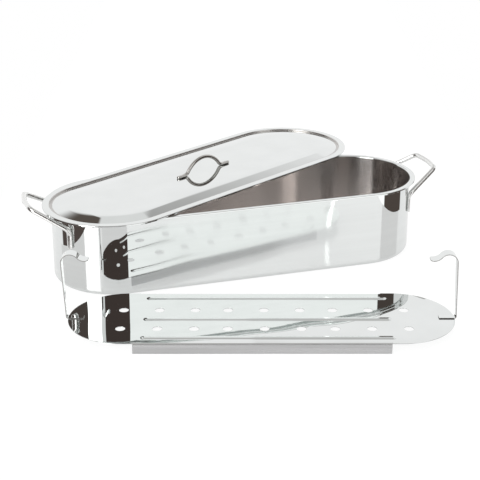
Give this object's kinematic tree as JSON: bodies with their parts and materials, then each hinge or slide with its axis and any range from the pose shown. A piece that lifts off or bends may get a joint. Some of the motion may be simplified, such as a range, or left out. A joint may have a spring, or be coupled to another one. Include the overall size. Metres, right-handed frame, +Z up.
{
  "type": "fish poacher",
  "caption": "Long round-ended stainless steel fish poacher: pot with rod handles, loose lid with an arched grip, and a perforated lift-out rack with hooked ends.",
  "frame": {"origin": "middle of the pot's flat underside", "axes": "+X along the pot towards its right handle, +Y to its back, +Z up"},
  "size_m": [0.6894, 0.6906, 0.1565],
  "materials": {
    "pot_sheet": "mirror-polished stainless steel sheet",
    "pot_rod": "polished stainless steel rod",
    "lid_sheet": "mirror-polished stainless steel sheet",
    "lid_rod": "polished stainless steel rod",
    "rack_sheet": "polished stainless steel sheet, satin on its folded flanges",
    "hook_strip": "polished stainless steel strip"
  },
  "bodies": {
    "pot": {"pot_shell": "pot_sheet", "pot_handle_left": "pot_rod", "pot_handle_right": "pot_rod"},
    "lid": {"lid_shell": "lid_sheet", "lid_handle": "lid_rod"},
    "rack": {"rack_plate": "rack_sheet", "rack_hook_left": "hook_strip", "rack_hook_right": "hook_strip"}
  },
  "joints": [
    {"name": "lid_lift", "type": "slide", "parent": "pot", "child": "lid", "axis": [0, 0, 1], "range_m": [0, 0.25]},
    {"name": "rack_lift", "type": "slide", "parent": "pot", "child": "rack", "axis": [0, 0, 1], "range_m": [0, 0.1]}
  ]
}
